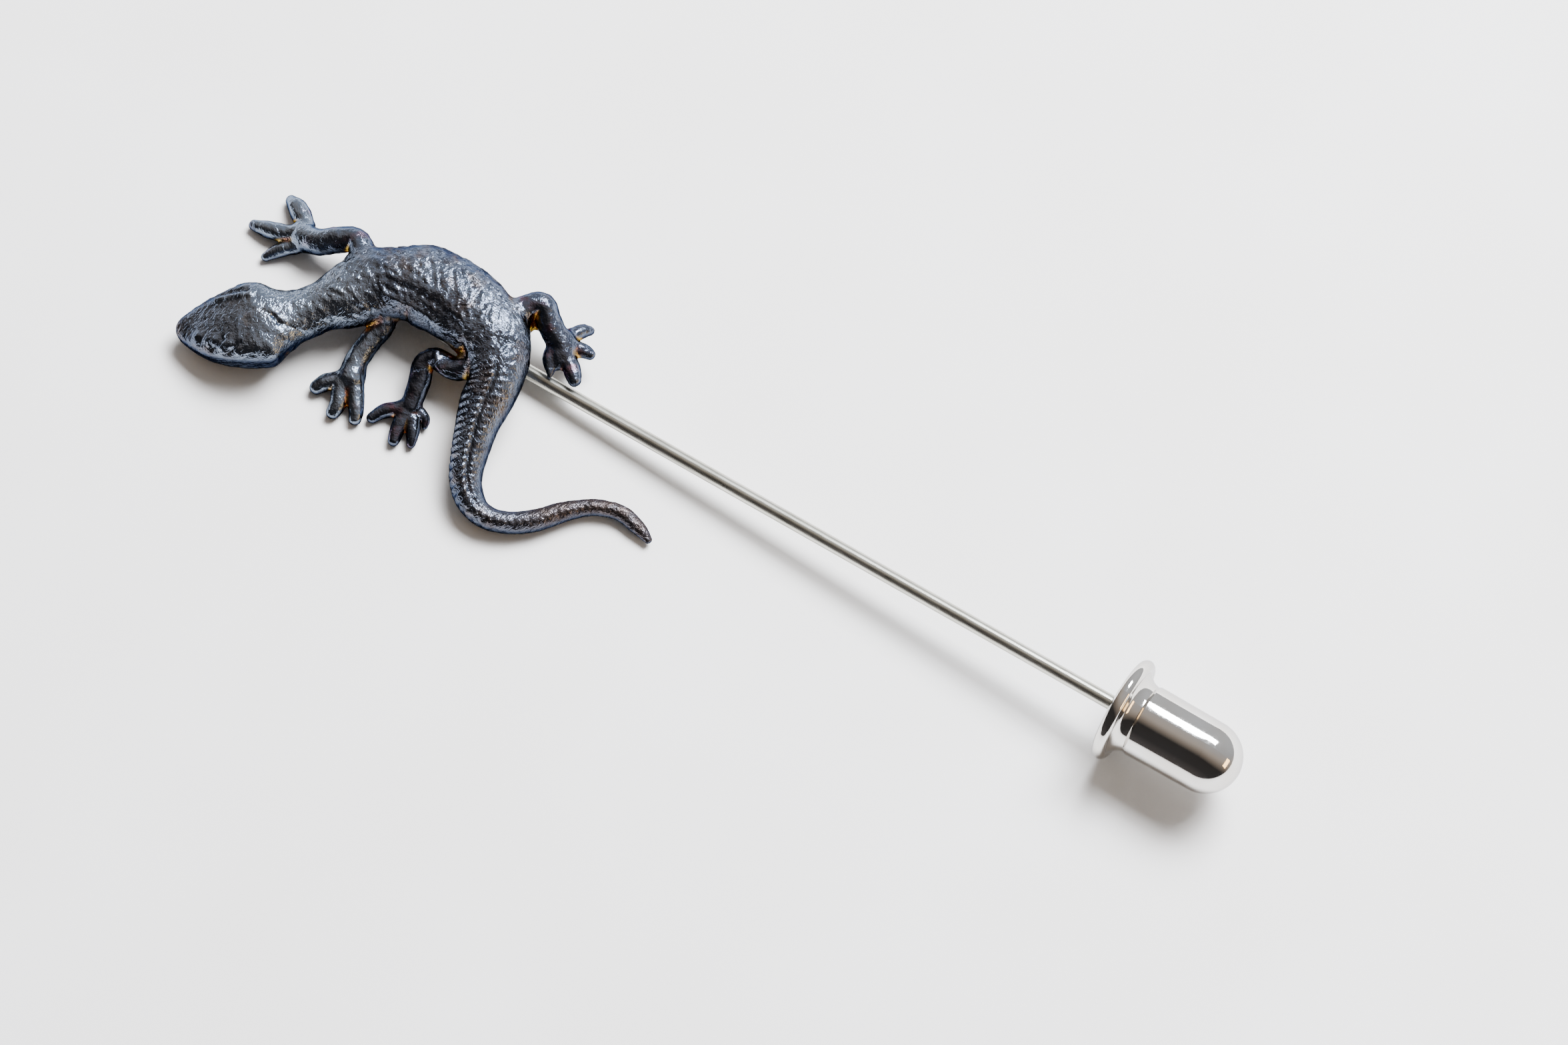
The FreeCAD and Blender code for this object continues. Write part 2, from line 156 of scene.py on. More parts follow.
# Limbs and toes: x, y, z, radius, with how softly each melts into what it grows from.
LIMBS = [
    ("left fore leg", 0.6, [
        (-13.6, -0.3, 2.9, 0.95),
        (-15.0, 1.2, 2.95, 0.85),
        (-16.4, 0.8, 2.45, 0.9),
        (-17.5, 0.2, 1.9, 0.9),
        (-18.6, 0.1, 1.3, 0.95),
        (-19.2, 0.2, 1.05, 0.85),
    ]),
    ("left fore toe", 0.3, [
        (-19.1, 0.6, 1.05, 0.7),
        (-19.5, 1.1, 0.95, 0.65),
        (-20.4, 1.7, 0.75, 0.7),
        (-21.3, 2.1, 0.5, 0.4),
    ]),
    ("left fore toe", 0.3, [
        (-19.8, -0.1, 1.0, 0.6),
        (-21.2, -0.5, 0.75, 0.6),
        (-22.4, -0.7, 0.5, 0.4),
    ]),
    ("left fore toe", 0.3, [
        (-19.0, -0.7, 1.0, 0.5),
        (-19.9, -1.4, 0.7, 0.5),
        (-20.5, -2.2, 0.45, 0.3),
    ]),
    ("right fore leg", 0.6, [
        (-11.3, -1.4, 2.4, 0.85),
        (-10.5, -2.6, 2.0, 0.7),
        (-10.8, -3.8, 1.6, 0.75),
        (-10.9, -5.4, 1.2, 0.8),
        (-10.6, -6.5, 0.95, 0.95),
    ]),
    ("right fore toe", 0.25, [
        (-11.2, -7.0, 0.85, 0.6),
        (-11.9, -7.6, 0.7, 0.6),
        (-12.3, -8.2, 0.55, 0.5),
    ]),
    ("right fore toe", 0.25, [
        (-10.8, -7.4, 0.85, 0.65),
        (-10.4, -8.5, 0.65, 0.55),
        (-10.4, -9.1, 0.5, 0.45),
    ]),
    ("right fore toe", 0.25, [
        (-9.9, -7.1, 0.85, 0.6),
        (-9.2, -8.1, 0.65, 0.55),
        (-8.9, -8.7, 0.5, 0.45),
    ]),
    ("right hind leg", 0.5, [
        (-3.9, -2.0, 2.7, 0.95),
        (-4.7, -2.8, 2.5, 0.8),
        (-6.1, -2.8, 2.3, 0.75),
        (-6.6, -3.0, 2.1, 0.7),
        (-6.8, -3.6, 1.8, 0.75),
        (-6.5, -4.5, 1.4, 0.75),
        (-6.3, -5.5, 1.05, 0.7),
        (-6.2, -6.1, 0.85, 0.7),
    ]),
    ("right hind toe", 0.25, [
        (-6.7, -6.6, 0.75, 0.55),
        (-7.5, -7.2, 0.6, 0.5),
        (-8.0, -8.0, 0.45, 0.4),
    ]),
    ("right hind toe", 0.25, [
        (-6.2, -6.8, 0.75, 0.55),
        (-6.1, -7.8, 0.6, 0.5),
        (-5.9, -8.6, 0.45, 0.4),
    ]),
    ("right hind toe", 0.25, [
        (-5.5, -6.8, 0.75, 0.45),
        (-5.1, -7.5, 0.6, 0.45),
        (-4.8, -8.2, 0.45, 0.3),
    ]),
    ("right hind toe", 0.2, [
        (-5.4, -6.1, 0.7, 0.4),
        (-4.9, -6.3, 0.55, 0.3),
        (-4.7, -6.7, 0.45, 0.2),
    ]),
    ("left hind leg", 0.5, [
        (-3.4, 1.2, 3.2, 0.95),
        (-2.9, 3.0, 3.4, 0.85),
        (-2.0, 3.8, 3.4, 0.8),
        (-1.1, 3.1, 2.9, 0.85),
        (-0.2, 2.6, 2.4, 0.85),
        (0.4, 2.4, 2.1, 0.75),
    ]),
    ("web behind the left knee", 0.3, [
        (-2.9, 1.8, 2.4, 0.8),
        (-2.3, 2.8, 2.3, 0.6),
        (-1.5, 3.0, 2.2, 0.5),
    ]),
    ("palm of the left hind foot", 0.3, [
        (0.3, 2.6, 2.15, 0.9),
        (0.6, 1.8, 2.1, 0.8),
        (0.7, 1.2, 2.1, 0.5),
    ]),
    ("left hind toe", 0.25, [
        (0.3, 3.2, 1.9, 0.6),
        (0.7, 4.1, 1.7, 0.5),
        (1.1, 4.5, 1.5, 0.3),
    ]),
    ("left hind toe", 0.25, [
        (1.0, 2.7, 1.9, 0.6),
        (1.6, 3.0, 1.8, 0.5),
        (2.1, 3.0, 1.7, 0.35),
    ]),
    ("left hind toe", 0.25, [
        (0.9, 2.0, 2.0, 0.6),
        (1.8, 1.3, 2.1, 0.6),
        (2.3, 0.8, 2.1, 0.45),
    ]),
    ("left hind toe", 0.2, [
        (-0.1, 1.9, 2.25, 0.5),
        (0.1, 1.1, 2.2, 0.45),
        (0.6, 0.5, 2.2, 0.3),
        (0.8, 0.1, 2.2, 0.15),
    ]),
]

# Lines worked into the wax before casting, seen from above: depth (a groove is negative),
# half width, and the line's points.
TOOL_MARKS = [
    (-0.20, 0.16, [(-20.95, -7.0), (-20.05, -6.35), (-19.15, -5.75)]),
    (0.13, 0.22, [(-20.6, -7.25), (-19.65, -6.6), (-18.75, -6.05)]),
    (0.16, 0.34, [(-20.4, -10.0), (-20.3, -9.85)]),
    (-0.16, 0.13, [(-18.9, -10.3), (-18.55, -9.45)]),
    (-0.16, 0.13, [(-17.7, -9.95), (-17.35, -9.15)]),
    (0.12, 0.36, [(-19.6, -9.85), (-19.1, -9.75)]),
    (0.12, 0.36, [(-18.35, -9.7), (-18.0, -9.65)]),
    (-0.08, 0.08, [(-17.4, -6.6), (-16.5, -6.5), (-15.9, -6.7), (-14.45, -6.25)]),
    (-0.07, 0.08, [(-16.5, -6.5), (-16.25, -5.65)]),
    (-0.07, 0.08, [(-15.9, -6.7), (-16.05, -7.7)]),
    (-0.16, 0.17, [(-16.5, -6.5), (-16.45, -6.5)]),
    (-0.16, 0.17, [(-15.9, -6.7), (-15.85, -6.7)]),
    (0.13, 0.22, [(-11.05, -1.5), (-9.05, -1.2), (-6.65, -1.35), (-5.15, -1.6)]),
    (-0.09, 0.24, [(-11.4, -0.65), (-9.1, -0.35), (-6.9, -0.45), (-5.2, -0.9)]),
    (0.16, 0.20, [(-6.25, -2.6), (-5.8, -3.35), (-4.75, -3.7), (-3.8, -3.5)]),
    (-0.26, 0.26, [(-5.95, -1.7), (-4.9, -1.75), (-4.45, -2.15)]),
]


def smooth_run(stations, per_span):
    """Stations joined by a smooth Catmull-Rom run, with per_span steps in each span."""
    p = np.array(stations, dtype=float)
    p = np.vstack([2 * p[0] - p[1], p, 2 * p[-1] - p[-2]])
    t = np.linspace(0, 1, per_span, endpoint=False)[:, None]
    rows = []
    for a, b, c, d in zip(p[:-3], p[1:-2], p[2:-1], p[3:]):
        rows.append(0.5 * (2 * b + (c - a) * t + (2 * a - 5 * b + 4 * c - d) * t ** 2
                           + (3 * b - a - 3 * c + d) * t ** 3))
    rows.append(p[-2][None])
    return np.vstack(rows)


class Spine:
    """The lizard's middle line, and where any point lies along and across it."""

    def __init__(self, stations):
        run = smooth_run(stations, SPINE_STEPS)
        self.xy = run[:, :2]
        self.height, self.half_width, self.half_height = run[:, 2], run[:, 3], run[:, 4]
        step = np.gradient(self.xy, axis=0)
        self.heading = step / np.linalg.norm(step, axis=1)[:, None]
        gaps = np.linalg.norm(np.diff(self.xy, axis=0), axis=1)
        self.length_at = np.concatenate([[0], np.cumsum(gaps)])

    def locate(self, x, y):
        """Distance along the spine, distance to its left, and how far past an end."""
        flat = np.stack([x.ravel(), y.ravel()], axis=1)
        nearest = np.empty(len(flat), dtype=int)
        for first in range(0, len(flat), POINTS_AT_ONCE):
            part = flat[first:first + POINTS_AT_ONCE]
            away = ((part[:, None] - self.xy[None]) ** 2).sum(axis=2)
            nearest[first:first + POINTS_AT_ONCE] = away.argmin(axis=1)
        offset = flat - self.xy[nearest]
        heading = self.heading[nearest]
        forward = (offset * heading).sum(axis=1)
        left = offset[:, 1] * heading[:, 0] - offset[:, 0] * heading[:, 1]
        along = self.length_at[nearest] + forward
        past = np.maximum(-along, along - self.length_at[-1]).clip(0)
        along = along.clip(0, self.length_at[-1])
        return along.reshape(x.shape), left.reshape(x.shape), past.reshape(x.shape)

    def at(self, along, values):
        return np.interp(along, self.length_at, values)


BELLY_FULLNESS = 0.86
SMALLEST = 1e-3         # keeps a division away from zero
GENTLEST_SLOPE = 0.2

# Distances along the spine from the snout.
HEAD_END = 8.0
NECK_END = 11.5
TAIL_START = 25.5
BEND_START = 31.0
BEND_END = 37.5


def step_up(value, low, high):
    """0 below low, 1 above high, smooth between."""
    t = ((value - low) / (high - low)).clip(0, 1)
    return t * t * (3 - 2 * t)


def melt(a, b, softness):
    """Joins two fields, with a fillet of about that softness."""
    h = (softness - np.abs(a - b)).clip(0) / softness
    return np.minimum(a, b) - h * h * softness / 4


def body_field(spine, x, y, z):
    along, left, past = spine.locate(x[:, :, 0], y[:, :, 0])
    half_width = spine.at(along, spine.half_width)[:, :, None]
    half_height = spine.at(along, spine.half_height)[:, :, None]
    height = spine.at(along, spine.height)[:, :, None]
    rise = z - height
    tall = np.where(rise < 0, half_height * BELLY_FULLNESS, half_height)
    end = END_ROUNDNESS * np.minimum(half_width, half_height)
    a = np.abs(left)[:, :, None] / half_width
    b = np.abs(rise) / tall
    c = past[:, :, None] / end
    reach = np.maximum(np.sqrt(a ** 2 + b ** 2 + c ** 2), SMALLEST)
    slope = np.sqrt((a / half_width) ** 2 + (b / tall) ** 2 + (c / end) ** 2) / reach
    return (reach - 1) / np.maximum(slope, GENTLEST_SLOPE)


def outline_distance(x, y, outline):
    """Flat distance from a closed outline, negative inside it."""
    flat = np.stack([x.ravel(), y.ravel()], axis=1)
    away = distance_to_line(flat, outline)
    inside = np.zeros(len(flat), dtype=bool)
    for (ax, ay), (bx, by) in zip(outline[:-1], outline[1:]):
        spans = (flat[:, 1] < ay) != (flat[:, 1] < by)
        crossing = ax + (flat[:, 1] - ay) * (bx - ax) / (by - ay if by != ay else 1.0)
        inside ^= spans & (flat[:, 0] < crossing)
    return np.where(inside, -away, away).reshape(x.shape)


def head_field(x, y, z):
    """A wedge with a nearly flat top and rounded edges, cut to the head's outline."""
    around = np.array(HEAD_OUTLINE[-2:] + HEAD_OUTLINE + HEAD_OUTLINE[:3])
    first, last = 2 * HEAD_STEPS, (2 + len(HEAD_OUTLINE)) * HEAD_STEPS
    outline = smooth_run(around, HEAD_STEPS)[first:last + 1]
    edge = outline_distance(x[:, :, 0], y[:, :, 0], outline)
    snout, neck = np.array(SPINE[0][:2]), np.array(SPINE[HEAD_STATIONS][:2])
    axis = (neck - snout) / np.linalg.norm(neck - snout)
    back = (x[:, :, 0] - snout[0]) * axis[0] + (y[:, :, 0] - snout[1]) * axis[1]
    along, middle, half = np.array(HEAD_PROFILE).T
    crown = HEAD_CROWN * (1 - step_up(-edge, 0.0, HEAD_CROWN_WIDTH))
    half_height = np.interp(back, along, half) - crown
    radius = (half_height * HEAD_EDGE_SHARE)[:, :, None]
    out = edge[:, :, None] + radius
    up = np.abs(z - np.interp(back, along, middle)[:, :, None]) - half_height[:, :, None] + radius
    return np.minimum(np.maximum(out, up), 0) + np.hypot(out.clip(0), up.clip(0)) - radius


def round_cone(x, y, z, a, b, ra, rb):
    """Signed distance to a tapered rod with round ends."""
    line = b - a
    length = np.linalg.norm(line)
    taper = (ra - rb) / length
    px, py, pz = x - a[0], y - a[1], z - a[2]
    forward = (px * line[0] + py * line[1] + pz * line[2]) / length
    away = np.sqrt((px ** 2 + py ** 2 + pz ** 2 - forward ** 2).clip(0))
    lean = math.sqrt(max(1 - taper * taper, 1e-6))
    t = ((forward + away * taper / lean) / length).clip(0, 1)
    cx, cy, cz = px - line[0] * t, py - line[1] * t, pz - line[2] * t
    return np.sqrt(cx ** 2 + cy ** 2 + cz ** 2) - (ra + (rb - ra) * t)


class Field:
    """A block of signed distances on a regular grid, in millimetres."""

    def __init__(self, low, high):
        self.low = np.array(low, dtype=float)
        self.count = np.ceil((np.array(high) - self.low) / VOXEL).astype(int) + 1
        self.axes = [self.low[i] + VOXEL * np.arange(self.count[i]) for i in range(3)]
        self.value = None
        self.body = None

    def grid(self, window=(slice(None), slice(None), slice(None))):
        return np.meshgrid(*[axis[cut] for axis, cut in zip(self.axes, window)], indexing="ij")

    def window(self, low, high):
        first = ((np.array(low) - self.low) / VOXEL).astype(int).clip(0)
        last = np.minimum(((np.array(high) - self.low) / VOXEL).astype(int) + 2, self.count)
        return tuple(slice(a, b) for a, b in zip(first, last))

    def add_limb(self, stations, softness):
        """Adds a limb drawn through its stations, with one soft fillet where it grows out."""
        run = smooth_run(stations, LIMB_STEPS)
        reach = run[:, 3].max() + softness + FIELD_MARGIN * VOXEL
        cut = self.window(run[:, :3].min(axis=0) - reach, run[:, :3].max(axis=0) + reach)
        x, y, z = self.grid(cut)
        limb = np.full(x.shape, reach)
        for a, b in zip(run[:-1], run[1:]):
            limb = np.minimum(limb, round_cone(x, y, z, a[:3], b[:3], a[3], b[3]))
        self.value[cut] = melt(self.value[cut], limb, softness)

    def sample(self, points, values):
        """Values on the grid, read smoothly at loose points."""
        at = (points - self.low) / VOXEL
        base = np.floor(at).astype(int).clip(0, self.count - 2)
        part = at - base
        total = np.zeros(len(points))
        for corner in range(8):
            step = np.array([corner & 1, corner >> 1 & 1, corner >> 2 & 1])
            weight = np.prod(np.where(step, part, 1 - part), axis=1)
            i, j, k = (base + step).T
            total += weight * values[i, j, k]
        return total


def box_blur(values, radius):
    """Averages a grid over a cube of 2 * radius + 1 cells a side."""
    for axis in range(3):
        size = values.shape[axis]
        pad = [(radius + 1, radius) if i == axis else (0, 0) for i in range(3)]
        total = np.cumsum(np.pad(values, pad, mode="edge"), axis=axis)
        high = np.take(total, np.arange(size) + 2 * radius + 1, axis=axis)
        low = np.take(total, np.arange(size), axis=axis)
        values = (high - low) / (2 * radius + 1)
    return values


def grain(points, size, seed):
    """Smooth random values from -1 to 1, with lumps of about that size."""
    table = np.random.RandomState(seed).uniform(-1, 1, (32, 32, 32))
    at = points / size + seed * 7.31
    base = np.floor(at).astype(int)
    part = at - base
    part = part * part * (3 - 2 * part)
    total = np.zeros(len(points))
    for corner in range(8):
        step = np.array([corner & 1, corner >> 1 & 1, corner >> 2 & 1])
        weight = np.prod(np.where(step, part, 1 - part), axis=1)
        i, j, k = ((base + step) % 32).T
        total += weight * table[i, j, k]
    return total


def distance_to_line(xy, line):
    """Distance of flat points from an open line."""
    best = np.full(len(xy), np.inf)
    for a, b in zip(np.array(line[:-1]), np.array(line[1:])):
        run = b - a
        t = (((xy - a) @ run) / (run @ run)).clip(0, 1)
        best = np.minimum(best, np.linalg.norm(xy - a - t[:, None] * run, axis=1))
    return best


def lizard_field():
    field = Field(FIELD_LOW, FIELD_HIGH)
    x, y, z = field.grid()
    trunk = body_field(Spine(SPINE[HEAD_STATIONS:]), x, y, z)
    field.value = melt(trunk, head_field(x, y, z), NECK_FILLET)
    field.body = field.value.copy()
    for _, softness, stations in LIMBS:
        field.add_limb(stations, softness)
    channel = np.sqrt(y ** 2 + ((z - wire_height(x)) * shaft_axis.x) ** 2) - wire_radius
    end_gap = CHANNEL_END_X - x
    field.value = np.maximum(field.value, -np.maximum(channel, end_gap))
    return field


def mesh_of(field):
    grid = openvdb.FloatGrid(FIELD_MARGIN * VOXEL)
    near = field.value.clip(-FIELD_MARGIN * VOXEL, FIELD_MARGIN * VOXEL)
    grid.copyFromArray(near.astype(np.float32))
    points, triangles, quads = grid.convertToPolygons(isovalue=0.0, adaptivity=0.0)
    points = np.array(points, dtype=float) * VOXEL + field.low
    return points, np.array(quads), np.array(triangles).reshape(-1, 3)


def point_normals(points, faces):
    a, b, c, d = (points[faces[:, i]] for i in range(4))
    face_normals = np.cross(c - a, d - b)
    normals = np.zeros_like(points)
    for i in range(4):
        np.add.at(normals, faces[:, i], face_normals)
    return normals / np.maximum(np.linalg.norm(normals, axis=1), 1e-9)[:, None]


# The skin's relief. Each sort of lump: height, size and the seed of its random values.
LUMPS = [(0.026, 0.85, 3), (0.028, 0.42, 5), (0.022, 0.24, 8)]

WARP, WARP_SIZE = 0.22, 0.9             # how far strokes and rings wander
STROKE_SIZE, STROKE_SHAPE, STROKE_EDGE = 0.22, 0.42, 0.7
TRUNK_STROKE, HEAD_STROKE = 0.044, 0.020
RING_PITCH, RING_LEAN, RING_FLOOR = 0.47, 0.28, -0.5
RIGHT_RING, LEFT_RING = 0.095, 0.025    # how high the tail's rings stand on each side
GROOVE_DEPTH, GROOVE_WIDTH, GROOVE_OFFSET = 0.16, 0.16, 0.10


def relief(points, normals, along, girth, limb):
    """How far the wax surface stands out from the smooth body at each point."""
    top = step_up(normals[:, 2], -0.15, 0.5)
    body = 1 - limb
    head = 1 - step_up(along, HEAD_END - 1, NECK_END)
    tail = step_up(along, TAIL_START - 1.5, TAIL_START + 1)
    end = step_up(along, BEND_START + 1, BEND_END)
    trunk = (1 - head) * (1 - tail)

    lumps = sum(height * grain(points, size, seed) for height, size, seed in LUMPS)

    skin = np.stack([along, girth, np.zeros_like(along)], axis=1)
    warp = WARP * grain(skin, WARP_SIZE, 11)
    slant = np.stack([along * 0.8 + girth * 0.6 + warp, girth * 0.8 - along * 0.6, 0 * along], axis=1)
    strokes = grain(slant * np.array([1.0, STROKE_SHAPE, 1.0]), STROKE_SIZE, 13)
    strokes = np.sign(strokes) * np.abs(strokes) ** STROKE_EDGE

    rings = np.sin(2 * np.pi * (along + RING_LEAN * girth + 0.5 * warp) / RING_PITCH)
    rings = np.maximum(rings, RING_FLOOR)
    right_half = step_up(-girth, -0.1, 0.25) * (1 - step_up(-girth, 1.45, 1.9))
    left_half = step_up(girth, 0.15, 0.5) * (1 - step_up(girth, 1.1, 1.6))
    groove = -GROOVE_DEPTH * np.exp(-((girth - GROOVE_OFFSET) / GROOVE_WIDTH) ** 2) * tail * (1 - end)
    tail_rings = (RIGHT_RING * rings * right_half + LEFT_RING * rings * left_half) * tail * (1 - 0.85 * end)

    out = lumps * (1 - 0.3 * head) * (1 - 0.4 * tail)
    out += TRUNK_STROKE * strokes * trunk * body * top
    out += HEAD_STROKE * strokes * head * body * top
    out += (tail_rings + groove) * top * body
    for depth, half_width, line in TOOL_MARKS:
        away = distance_to_line(points[:, :2], line)
        out += depth * np.exp(-(away / half_width) ** 2) * step_up(normals[:, 2], 0.0, 0.4)
    return out


HOLLOW_REACH = 0.8      # distances beyond this don't count towards how hollow a spot is
HOLLOW_CELLS = 4
LOWEST = 0.02           # nothing on the lizard is nearer the table


def build_lizard():
    spine = Spine(SPINE)
    field = lizard_field()
    points, faces, corners = mesh_of(field)
    normals = point_normals(points, faces)

    along, left, _ = spine.locate(points[:, 0], points[:, 1])
    rise = points[:, 2] - spine.at(along, spine.height)
    half_width = spine.at(along, spine.half_width)
    half_height = spine.at(along, spine.half_height)
    turn = np.arctan2(left / half_width, rise / half_height)
    girth = turn * 0.5 * (half_width + half_height)
    limb = step_up(field.sample(points, field.body), 0.08, 0.55)

    nearby = field.value.clip(-HOLLOW_REACH, HOLLOW_REACH)
    hollow = -field.sample(points, box_blur(nearby, HOLLOW_CELLS))
    # 1 on faces turned up, 0 on faces turned down; the casting uses it to paint shade on the
    # downward-facing sides.
    up_facing_unshaded = step_up(normals[:, 2], 0.1, 0.9)
    points = points + normals * relief(points, normals, along, girth, limb)[:, None]
    points[:, 2] = points[:, 2].clip(LOWEST)

    mesh = bpy.data.meshes.new("lizard")
    places = pin_zero[:] + points * MM
    mesh.from_pydata(places.tolist(), [], [list(f) for f in faces] + [list(f) for f in corners])
    mesh.validate()
    mesh.shade_smooth()
    skin_values = {"hollow": hollow, "up_facing_unshaded": up_facing_unshaded, "limb": limb, "along": along, "girth": girth}
    for name, values in skin_values.items():
        layer = mesh.attributes.new(name, "FLOAT", "POINT")
        layer.data.foreach_set("value", values.astype(np.float32))
    lizard = bpy.data.objects.new("lizard", mesh)
    bpy.context.scene.collection.objects.link(lizard)
    return lizard


# ---------------------------------------------------------------------------
# Finishes
# ---------------------------------------------------------------------------
class Value:
    """A shader socket that takes part in Python sums."""

    def __init__(self, finish, socket):
        self.finish = finish
        self.socket = socket

    def _math(self, operation, *others):
        return self.finish.node("ShaderNodeMath", {"operation": operation}, *others)

    def __add__(self, other):
        return self._math("ADD", self, other)

    def __sub__(self, other):
        return self._math("SUBTRACT", self, other)

    def __rsub__(self, other):
        return self._math("SUBTRACT", other, self)

    def __mul__(self, other):
        return self._math("MULTIPLY", self, other)

    def __rmul__(self, other):
        return self._math("MULTIPLY", other, self)


class Finish:
    """A material made of one principled surface, with short ways to add what varies over it."""

    def __init__(self, name, **settings):
        self.material = bpy.data.materials.new(name)
        self.material.use_nodes = True
        self.tree = self.material.node_tree
        self.surface = next(n for n in self.tree.nodes if n.type == "BSDF_PRINCIPLED")
        for label, value in settings.items():
            self.surface.inputs[label.replace("_", " ").title()].default_value = value

    def node(self, kind, settings, *inputs, output=0, **named):
        node = self.tree.nodes.new(kind)
        for label, value in settings.items():
            setattr(node, label, value)
        for key, value in list(enumerate(inputs)) + list(named.items()):
            if value is None:
                continue
            socket = node.inputs[key if isinstance(key, int) else key.replace("_", " ").title()]
            if isinstance(value, Value):
                self.tree.links.new(value.socket, socket)
            else:
                socket.default_value = value
        return Value(self, node.outputs[output])

    @staticmethod
    def set_stops(ramp, stops):
        while len(ramp.elements) < len(stops):
            ramp.elements.new(1.0)
        for element, (place, colour) in zip(ramp.elements, stops):
            element.position = place
            element.color = (*colour, 1.0)

    def place(self):
        return self.node("ShaderNodeTexCoord", {}, output="Object")

    def attribute(self, name):
        return self.node("ShaderNodeAttribute", {"attribute_name": name}, output="Fac")

    def noise(self, size_mm, detail=2.0, roughness=0.5, vector=None, distortion=0.0, unit=MM):
        """Cloudy noise of that grain. unit is the length, in metres, of one step of the vector."""
        where = self.place() if vector is None else vector
        return self.node("ShaderNodeTexNoise", {}, where, scale=1.0 / (size_mm * unit), detail=detail,
                         roughness=roughness, distortion=distortion, output="Fac")

    def between(self, value, low, high, to_low=0.0, to_high=1.0):
        """Stretches low to high over to_low to to_high, and clamps beyond them."""
        return self.node("ShaderNodeMapRange", {"clamp": True}, value, low, high, to_low, to_high)

    def blend(self, factor, a, b):
        """Mixes two colours, from a at 0 to b at 1."""
        a = a if isinstance(a, Value) else (*a, 1.0)
        b = b if isinstance(b, Value) else (*b, 1.0)
        node = self.tree.nodes.new("ShaderNodeMix")
        node.data_type = "RGBA"
        for key, value in ((0, factor), (6, a), (7, b)):
            if isinstance(value, Value):
                self.tree.links.new(value.socket, node.inputs[key])
            else:
                node.inputs[key].default_value = value
        return Value(self, node.outputs[2])

    def feed(self, label, value):
        self.tree.links.new(value.socket, self.surface.inputs[label])

    def bump(self, height, depth_mm, strength=1.0):
        return self.node("ShaderNodeBump", {}, strength=strength, distance=depth_mm * MM, height=height,
                         output="Normal")


GILT_DEPTH = (0.004, 0.06)    # how hollow the surface is where gilt begins, and where it is full

# Painted shade, put on the sides that face down:
PAINTED_UNDERSIDE_SHADE = (0.042, 0.050, 0.070)
BLACK_STEEL = (0.105, 0.122, 0.165)
TOE_STEEL = (0.095, 0.112, 0.160)
BLUE_STEEL = (0.200, 0.235, 0.310)
RUBBED_STEEL = (0.32, 0.37, 0.46)
# Painted sheen, put on the back of the head and the neck:
PAINTED_SHEEN_STEEL = (0.34, 0.41, 0.52)
BROWN = (0.175, 0.135, 0.110)
DARK_BROWN = (0.105, 0.078, 0.070)
RED_TINT = (0.28, 0.10, 0.14)
COPPER_GILT = (0.36, 0.11, 0.02)
YELLOW_GILT = (0.44, 0.29, 0.06)


def dark_casting():
    """Darkened white metal: blue-black, gilt left in the hollows, brown on the tail's end, with painted
    shade on the downward-facing sides and a painted sheen on the head and neck.
    """
    f = Finish("dark_casting", metallic=1.0, specular_tint=(0.16, 0.17, 0.20, 1.0))
    cloud = f.noise(2.6, 3.0, 0.6)
    patches = f.noise(0.55, 3.0, 0.6)
    speck = f.noise(0.13, 2.0, 0.6)
    along = f.attribute("along")
    girth = f.attribute("girth")
    hollow = f.attribute("hollow")
    limb = f.attribute("limb")
    up_facing_unshaded = f.attribute("up_facing_unshaded")

    crosswise = (girth * 0.8 - along * 0.6) * 1.9
    slant = f.node("ShaderNodeCombineXYZ", {}, along * 0.8 + girth * 0.6, crosswise)
    strokes = f.noise(0.55, 2.5, 0.6, vector=slant, unit=1.0, distortion=0.9)

    steel = f.blend(f.between(cloud, 0.35, 0.65), BLACK_STEEL, BLUE_STEEL)
    steel = f.blend(f.between(patches, 0.48, 0.78, 0.0, 0.4), steel, RUBBED_STEEL)
    brown = f.between(f.noise(1.4, 3.0, 0.6), 0.50, 0.68, 0.0, 0.6)
    steel = f.blend(brown, steel, BROWN)
    tail_end = f.between(along, 34.0, 40.0) * f.between(patches, 0.2, 0.6, 0.45, 0.9)
    steel = f.blend(tail_end, steel, DARK_BROWN)
    toes = limb * f.between(patches, 0.3, 0.7, 0.8, 0.4)
    steel = f.blend(toes, steel, TOE_STEEL)
    tint = f.between(f.noise(1.1, 2.0, 0.5), 0.56, 0.72, 0.0, 0.5) * limb
    steel = f.blend(tint, steel, RED_TINT)
    # Painted sheen: the back of the head and the neck are made lighter and bluer, standing in for a broad
    # reflection there.
    painted_neck_sheen = f.between(along, 2.0, 7.0) * f.between(along, 14.0, 11.0, 0.0, 0.65)
    steel = f.blend(painted_neck_sheen, steel, PAINTED_SHEEN_STEEL)
    # Painted shade: faces turned towards the table darken to the painted shade colour.
    steel = f.blend(up_facing_unshaded, PAINTED_UNDERSIDE_SHADE, steel)
    depth = f.between(hollow + 0.05 * (patches - 0.5), GILT_DEPTH[0], GILT_DEPTH[1])
    gilt = f.blend(f.between(f.noise(0.9), 0.42, 0.58), COPPER_GILT, YELLOW_GILT)
    f.feed("Base Color", f.blend(depth, steel, gilt))
    dull = f.between(patches * 0.6 + speck * 0.4, 0.35, 0.65, 0.10, 0.20)
    f.feed("Roughness", dull + tail_end * 0.16)
    skin = (strokes - 0.5) * (1 - 0.6 * limb) + 0.35 * (speck - 0.5)
    f.feed("Normal", f.bump(skin, 0.09, 1.0))
    return f.material


